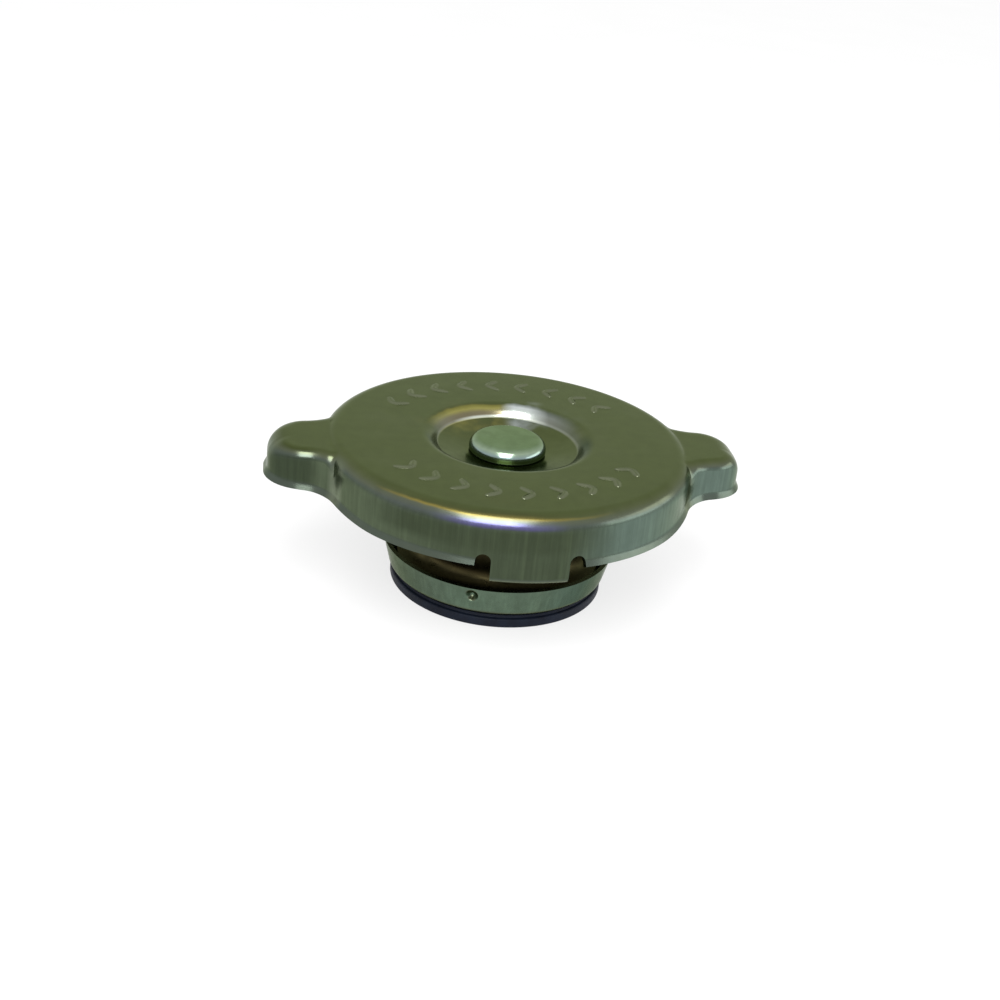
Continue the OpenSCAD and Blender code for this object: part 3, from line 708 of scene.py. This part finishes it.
def shell_stretch(run, section, side_rows):
    """One stretch of the shell between the middles of two notches. Its rows run from the rivet's hole
    over the edge, down the wall, and along the section below it. Towards the ears the lower edge
    rises."""
    edge_point, out = outline(run)
    top = top_rows(edge_point, out)
    edge_z = top[-1, :, 2]
    rise_share = np.clip((np.abs(edge_point[:, 0]) - RISE_FROM_X) / (RISE_TO_X - RISE_FROM_X), 0, 1)
    rise = EAR_RISE * eased(rise_share)
    wall_share = np.linspace(0, 1, WALL_ROWS + 2)[1:-1, None]
    wall_z = edge_z + (root_z + rise - edge_z) * wall_share
    wall = lifted(np.broadcast_to(edge_point, (WALL_ROWS, *edge_point.shape)), wall_z)
    return np.concatenate([top, wall, low_rows(run, section, side_rows, rise)])


# %% Join the stretches
SHELL_T = 1.0
SKIRT_ROWS = 6
TAB_ROWS = 16
half_shell = ((skirt_run, skirt_section, SKIRT_ROWS), (tab_run, tab_section, TAB_ROWS))
stretches = [shell_stretch(run + start, section, rows)
             for start in (0, 2 * quarter_run) for run, section, rows in half_shell]
counts = np.cumsum([0] + [s.shape[0] * s.shape[1] for s in stretches])
shell_points = np.concatenate([s.reshape(-1, 3) for s in stretches])
shell_quads = np.concatenate([grid_quads(*s.shape[:2], wrap=False) + first
                              for s, first in zip(stretches, counts)])
shell = piece("shell_pressing", shell_points, shell_quads, "shell", "shell_plate", shell_plate, "shell")
as_sheet(shell, SHELL_T)

# %% [markdown]
# ## Raised marks
# Plain raised chevrons in two arcs point the way that the cap turns to open. A stamp in the press would
# raise them from the sheet. Each is a smooth swelling carried along a bent line. Its height falls to
# nothing at its edges, so that it rises out of the sheet with no crease, which a cut-out shape with
# bevels would not do.

# %% Chevrons in two arcs
MARK_R = 23.6
MARK_HALF_H = 2.3
MARK_LEAN = 2.2
MARK_BEND_R = 1.1
MARK_W = 1.4
MARK_RISE = 0.3
MARK_FOOT = 0.004
MARK_ROOT = 0.3
MARK_BLUNT = 5
MARK_ROWS = 33
MARK_COLUMNS = 13
MARK_STEP = math.radians(13.5)
MARKS_IN_ARC = 9


def chevron(turn):
    """A bent line in the plane of the top, with a raised-cosine swelling across it: height = rise * (1 +
    cos) / 2. The swelling narrows to a point at both ends, and its foot is sunk a little way into the
    sheet."""
    line = bent([(-MARK_LEAN / 2, -MARK_HALF_H, 0), (MARK_LEAN / 2, 0, MARK_BEND_R),
                 (-MARK_LEAN / 2, MARK_HALF_H, 0)])
    run = np.linspace(0, 1, MARK_ROWS)
    line = along(line, run * path_length(line))
    ahead = np.gradient(line, axis=0)
    side = np.stack([-ahead[:, 1], ahead[:, 0]], 1) / np.linalg.norm(ahead, axis=1)[:, None]
    swell = np.sqrt(np.clip(1 - np.abs(2 * run - 1) ** MARK_BLUNT, 0, 1))[:, None]
    across = np.linspace(-1, 1, MARK_COLUMNS)
    flat = line[:, None, :] + (across * swell * MARK_W / 2)[..., None] * side[:, None, :]
    lift = MARK_RISE * (1 + np.cos(np.pi * across)) / 2 * swell - MARK_FOOT
    flat = np.concatenate([flat, flat[:, ::-1]], 1)
    height = np.concatenate([lift, np.full_like(lift, -MARK_ROOT)], 1)
    angle = turn + flat[..., 0] / MARK_R
    radius = MARK_R + flat[..., 1]
    return np.stack([radius * np.cos(angle), radius * np.sin(angle), CAP_Z + height], -1)


middle = (MARKS_IN_ARC - 1) / 2
turns = [arc + MARK_STEP * (k - middle) for arc in (-math.pi / 2, math.pi / 2) for k in range(MARKS_IN_ARC)]
marks = np.stack([chevron(turn) for turn in turns])
per_mark = marks.shape[1] * marks.shape[2]
mark_quads = grid_quads(*marks.shape[1:3])[:, ::-1]
mark_quads = np.concatenate([mark_quads + k * per_mark for k in range(len(turns))])
piece("opening_marks", marks, mark_quads, "shell", "shell_plate", mark_plate_painted_light)

# %% [markdown]
# ## Rivet and washer
# A solid rivet holds the valve to the shell: its head sits in the recess, and its tail is clenched over a
# washer. Cylinders with bevels could make it, but one turned section gives the head's soft edge and the
# tail's bulge in one go. Weighted normals keep the flat faces flat next to the small rounds.

# %% Turn the rivet and its washer
rivet_low, rivet_high = box_mm("rivet")
washer_low, washer_high = box_mm("rivet_washer")
HEAD_EDGE = 1.8
HEAD_FOOT_EDGE = 0.5
TAIL_R = 5.2
TAIL_TOP_EDGE = 0.4
TAIL_EDGE = 0.8
WASHER_EDGE = 0.15
RIVET_COLUMNS = 192
WASHER_COLUMNS = 144
head_r = rivet_high[0]
rivet_path = bent([(0, rivet_high[2], 0), (head_r, rivet_high[2], HEAD_EDGE),
                   (head_r, RECESS_Z, HEAD_FOOT_EDGE), (HOLE_R, RECESS_Z, 0), (HOLE_R, washer_low[2], 0),
                   (TAIL_R, washer_low[2], TAIL_TOP_EDGE), (TAIL_R, rivet_low[2], TAIL_EDGE),
                   (0, rivet_low[2], 0)])
as_turned(revolved("rivet_turned", rivet_path, RIVET_COLUMNS, "shell", "rivet_steel", rivet_steel, "rivet"))
washer_path = bent([(HOLE_R, washer_high[2], 0), (washer_high[0], washer_high[2], WASHER_EDGE),
                    (washer_high[0], washer_low[2], WASHER_EDGE), (HOLE_R, washer_low[2], 0)], 4)
as_turned(revolved("washer_turned", closed(washer_path), WASHER_COLUMNS, "shell", "rivet_steel",
                   rivet_steel, "rivet_washer"))

# %% [markdown]
# ## Friction spring and bell
# The friction spring is a thin dished disc that presses on the neck's rim, and the bell under it houses
# the main coil. Both are pressed from sheet and are round, so each is the section of its outer face,
# carried round the axis and thickened. Both turn on the rivet's shank with a little room.

# %% Press the friction spring and the bell
bell_low, bell_high = box_mm("bell")
dish_r, _, dish_z = box_mm("friction_spring")[1]
TURN_ROOM = 0.05
TURN_R = HOLE_R + TURN_ROOM
BELL_R = 14.2
BELL_T = 0.7
BELL_EDGE = 2
BELL_SWEEP = 3.4
FRICTION_T = 0.4
DISH_FLAT_R = 14.5
DISH_DEEP = 1.7
DISH_RIM_DOWN = 1.3
DISH_RIM_W = 2
DISH_SWEEP = 8
DISH_LOW_R = 2
WIDE_COLUMNS = 256
dish_path = bent([(TURN_R, dish_z, 0), (DISH_FLAT_R, dish_z, DISH_SWEEP),
                  (dish_r - DISH_RIM_W, dish_z - DISH_DEEP, DISH_LOW_R),
                  (dish_r, dish_z - DISH_RIM_DOWN, 0)])
as_sheet(revolved("friction_dish", dish_path, WIDE_COLUMNS, "bell", "spring_steel", spring_steel,
                  "friction_spring"), FRICTION_T)
flange_z = bell_low[2] + BELL_T
bell_path = bent([(TURN_R, bell_high[2], 0), (BELL_R, bell_high[2], BELL_EDGE),
                  (BELL_R, flange_z, BELL_SWEEP), (bell_high[0], flange_z, 0)], 12)
as_sheet(revolved("bell_pressing", bell_path, WIDE_COLUMNS, "bell", "bell_plate", bell_plate, "bell"),
         BELL_T)

# %% [markdown]
# ## Valve cup
# The cup carries the seal and slides on the bell's flange, which three staking dents in its wall keep
# from coming out. Sculpting the dents or cutting them with spheres would break the turned grid. So the
# grid gets closer columns near each dent, and its points are pushed inwards by a smooth bump.

# %% Press the valve cup and stake it
cup_low, cup_high = box_mm("valve_cup")
cup_z = cup_low[2]
CUP_BASE_R = 19.7
CUP_T = 0.7
CUP_BASE_BEND = 1.5
CUP_H = 5.6
NECK_R = 6.3
NECK_BEND = 1
COLLAR_H = 2.2
CUP_WALL_ROWS = 29
CUP_COLUMNS = 240
DENT_R = 1.25
DENT_DEEP = 1.15
DENT_DOWN = 1.6
DENT_Z = cup_z + CUP_H - DENT_DOWN
DENT_ANGLES = np.radians([-110, 10, 130])
DENT_FAN = np.linspace(-0.12, 0.12, 41)


def half_turn(angle):
    """The same direction as an angle from minus half a turn to half a turn."""
    return (angle + np.pi) % (2 * np.pi) - np.pi


cup_path = bent([(cup_high[0], cup_z + CUP_H, 0), (CUP_BASE_R, cup_z, CUP_BASE_BEND),
                 (NECK_R, cup_z, NECK_BEND), (NECK_R, cup_z + COLLAR_H, 0)], 10)
wall_share = np.linspace(0, 1, CUP_WALL_ROWS + 2)[1:-1, None]
cup_wall = cup_path[:1] + (cup_path[1:2] - cup_path[:1]) * wall_share
cup_path = np.concatenate([cup_path[:1], cup_wall, cup_path[1:]])
even = np.linspace(-np.pi, np.pi, CUP_COLUMNS, endpoint=False)
fans = half_turn((DENT_ANGLES[:, None] + DENT_FAN).ravel())
cup_angles = np.unique(np.round(np.concatenate([even, fans]), 9))
cup_points = around(cup_path, cup_angles)
radius, height = cup_path[:, :1], cup_path[:, 1:]
for angle in DENT_ANGLES:
    sideways = radius * half_turn(cup_angles - angle)
    off = np.clip(np.hypot(sideways, height - DENT_Z) / DENT_R, 0, 1)
    push = np.where(radius > CUP_BASE_R - 1, DENT_DEEP * (1 - off ** 2) ** 1.5, 0)
    cup_points[..., 0] -= push * np.cos(angle)
    cup_points[..., 1] -= push * np.sin(angle)
cup = piece("cup_pressing", cup_points, grid_quads(*cup_points.shape[:2]), "pressure_valve", "cup_plate",
            cup_plate, "valve_cup")
as_sheet(cup, CUP_T)

# %% [markdown]
# ## Seal
# The seal is a moulded rubber ring with a thin web that is clamped under the cup. A groove near its top
# makes the dark gap between cup and ring. It is a closed section carried round the axis.

# %% Mould the seal
seal_r, _, seal_z = box_mm("seal")[1]
SEAL_WEB = 1.0
LAND_R = 11.4
SEAL_EDGE = 0.3
GROOVE_H = 0.7
GROOVE_DEEP = 0.7
GROOVE_BEND = 0.2
SEAL_ROOM = 0.5
web_z = seal_z - SEAL_WEB
inner_r = NECK_R + SEAL_ROOM
groove_r, groove_z = seal_r - GROOVE_DEEP, seal_z - GROOVE_H
seal_path = bent([(inner_r, seal_z, 0), (groove_r, seal_z, 0), (groove_r, groove_z, GROOVE_BEND),
                  (seal_r, groove_z, SEAL_EDGE), (seal_r, 0, SEAL_EDGE), (LAND_R + web_z / 3, 0, SEAL_EDGE),
                  (LAND_R, web_z, SEAL_EDGE), (inner_r, web_z, 0)], 6)
as_turned(revolved("seal_ring", closed(seal_path), WIDE_COLUMNS, "pressure_valve", "seal_rubber",
                   seal_rubber, "seal"))

# %% [markdown]
# ## Vacuum valve
# A small brass valve in the middle of the seal lets air back in as the engine cools. Its disc is pressed
# with a raised rim, so it is made as a sheet. The stem, its clip and the seal's retainer are small and
# hidden, and their CAD meshes are good enough, so they only get a finish.

# %% Press the vacuum disc and dress the small parts
disc_low, disc_high = box_mm("vacuum_disc")
DISC_T = 0.5
DISC_RIM_W = 1.2
DISC_HOLE_R = 1.2
DISC_BEND_R = 0.7
DISC_COLUMNS = 192
disc_r, _, rim_z = disc_high
plate_z = disc_low[2] + DISC_T
disc_path = bent([(DISC_HOLE_R, plate_z, 0), (disc_r - 2 * DISC_RIM_W, plate_z, DISC_BEND_R),
                  (disc_r - DISC_RIM_W, rim_z, DISC_BEND_R), (disc_r, rim_z, 0)])
as_sheet(revolved("vacuum_plate", disc_path, DISC_COLUMNS, "vacuum_valve", "valve_brass", valve_brass,
                  "vacuum_disc"), DISC_T)
small_parts = {"vacuum_stem": valve_brass, "stem_clip": spring_steel, "seal_retainer": cup_plate}
for node, finish in small_parts.items():
    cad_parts[node].data.materials.clear()
    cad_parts[node].data.materials.append(finish)
    print(node, "keeps its CAD mesh and wears", finish.name)

# %% [markdown]
# ## Springs
# The two coils are hidden when the cap is whole, but they show when it is taken apart. On the cap they
# shorten as the valves move, but here each is made at one length. Each is a circle carried along a helix
# whose first and last turns are wound close.

# %% Coils
CLOSE_PITCH = 1.04
WIRE_SIDES = 14
TURN_STEPS = 40


def coil(mean_r, wire, low_z, high_z, turns):
    """Helix of a round wire. Height grows with the turns, slowly over the closed first and last turn and
    evenly over the rest. The wire's ends are closed by rows that shrink to a point."""
    turn = np.linspace(0, turns, int(turns * TURN_STEPS) + 1)
    rise = high_z - low_z - wire
    close = min(CLOSE_PITCH * wire, rise / 4)
    height = np.interp(turn, [0, 1, turns - 1, turns], [0, close, rise - close, rise])
    turn, height = (np.pad(values, 1, "edge")[:, None] for values in (turn, height))
    thick = np.full((len(turn), 1), wire / 2)
    thick[[0, -1]] = 0
    side = np.linspace(0, 2 * np.pi, WIRE_SIDES, endpoint=False)
    radius = mean_r + thick * np.cos(side)
    angle = 2 * np.pi * turn
    z = low_z + wire / 2 + height + thick * np.sin(side)
    return np.stack([radius * np.cos(angle), radius * np.sin(angle), z], -1)


for name, node, body, wire, mean_r, turns, joint, fixed_top in (
        ("pressure_coil", "pressure_spring", "bell", 2.0, 11.7, 6.5, "pressure_valve_lift", True),
        ("vacuum_coil", "vacuum_spring", "pressure_valve", 0.5, 2.35, 4.0, "vacuum_valve_drop", False)):
    coil_low, coil_high = box_mm(node)
    points = coil(mean_r, wire, coil_low[2], coil_high[2], turns)
    quads = grid_quads(*points.shape[:2])[:, ::-1]
    made = piece(name, points, quads, body, "spring_steel", spring_steel, node)
    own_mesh(made)

# %% [markdown]
# ## Stage, light and camera
# The floor is plain and nearly white. It is whitened for the camera and for reflections only, and the
# world is white, while the light that falls on the cap stays at a plain level. One long soft lamp above
# the camera draws the bright line along the front bend, as a window would. A second, low at the right,
# lifts the walls that face it.

# %% Floor
FLOOR_HALF = 3000.0
FLOOR_DOWN = 0.02
FLOOR_GLOW = 0.72
FLOOR_SCALE = 0.02
floor_corners = np.array([(-1, -1, -1), (1, -1, -1), (1, 1, -1), (-1, 1, -1)])
floor_points = floor_corners * [FLOOR_HALF, FLOOR_HALF, FLOOR_DOWN]
floor_mesh = bpy.data.meshes.new("floor")
floor_mesh.from_pydata((floor_points * MM).tolist(), [], [[0, 1, 2, 3]])
floor = in_scene("floor", floor_mesh)
paper, shader, add, plug = new_finish("floor_paper")
fibres = noise(add, in_mm(add), FLOOR_SCALE)
pale = ramp(add, fibres, [(0.3, (0.86, 0.86, 0.86)), (0.7, (0.9, 0.9, 0.9))])
plug(shader, {"Base Color": pale, "Roughness": 0.9})
path = add("LightPath")
seen = arithmetic(add, "MAXIMUM", (path, "Is Camera Ray"), (path, "Is Glossy Ray"))
seen = arithmetic(add, "MAXIMUM", seen, (path, "Is Transmission Ray"))
white = add("Emission", Color=(1, 1, 1, 1), Strength=1.0)
glow = arithmetic(add, "MULTIPLY", seen, FLOOR_GLOW)
whitened = add("MixShader", Fac=glow, i1=(shader, 0), i2=(white, 0))
plug(paper.node_tree.nodes["Material Output"], {"Surface": (whitened, 0)})
floor_mesh.materials.append(paper)
print(f"floor: {2 * FLOOR_HALF * MM:.0f} m wide")

# %% World
world = bpy.data.worlds.new("studio")
bpy.context.scene.world = world
world.use_nodes = True
background = world.node_tree.nodes["Background"]
background.inputs["Color"].default_value = (1, 1, 1, 1)
background.inputs["Strength"].default_value = 1.0
print("world: plain white")

# %% Camera
CAM_AZIMUTH = math.radians(-10.0)
CAM_ELEVATION = math.radians(25.75)
CAM_ROLL = math.radians(5.71)
CAM_DISTANCE = 272.25
CAM_TARGET = np.array([-0.358, 0.063, 15.36])
SENSOR_W = 36.0
FOCAL_LENGTH = 53.82


def toward(azimuth, elevation):
    """Direction from the cap to a place round it. Azimuth 0 is the front, at -Y."""
    level = math.cos(elevation)
    return np.array([math.sin(azimuth) * level, -math.cos(azimuth) * level, math.sin(elevation)])


def aim(made, place, target, roll=0.0):
    """Puts a lamp or camera at a place, looks along its -Z at a target, and rolls it about that line."""
    back = (place - target) / np.linalg.norm(place - target)
    right = np.cross([0, 0, 1], back)
    right /= np.linalg.norm(right)
    up = np.cross(back, right)
    rolled_right = math.cos(roll) * right + math.sin(roll) * up
    rolled_up = math.cos(roll) * up - math.sin(roll) * right
    matrix = np.eye(4)
    matrix[:3, :3] = np.stack([rolled_right, rolled_up, back], 1)
    matrix[:3, 3] = place * MM
    made.matrix_world = Matrix(matrix.tolist())


lens = bpy.data.cameras.new("photo_camera")
lens.sensor_width = SENSOR_W
lens.lens = FOCAL_LENGTH
camera = in_scene("photo_camera", lens)
aim(camera, CAM_TARGET + CAM_DISTANCE * toward(CAM_AZIMUTH, CAM_ELEVATION), CAM_TARGET, CAM_ROLL)
bpy.context.scene.camera = camera
bpy.context.scene.view_settings.view_transform = "Standard"
print(f"camera: {CAM_DISTANCE} mm away, {FOCAL_LENGTH} mm lens")

# %% Lamps
for name, azimuth, elevation, distance, wide, tall, watts in (
        ("window_lamp", -14, 51, 620, 340, 520, 4.0),
        ("side_lamp", 80, 14, 800, 800, 300, 1.5)):
    lamp = bpy.data.lights.new(name, "AREA")
    lamp.shape = "RECTANGLE"
    lamp.size, lamp.size_y = wide * MM, tall * MM
    lamp.energy = watts
    direction = toward(math.radians(azimuth), math.radians(elevation))
    aim(in_scene(name, lamp), CAM_TARGET + distance * direction, CAM_TARGET)
    print(f"{name}: {watts} W at {azimuth}, {elevation} degrees")
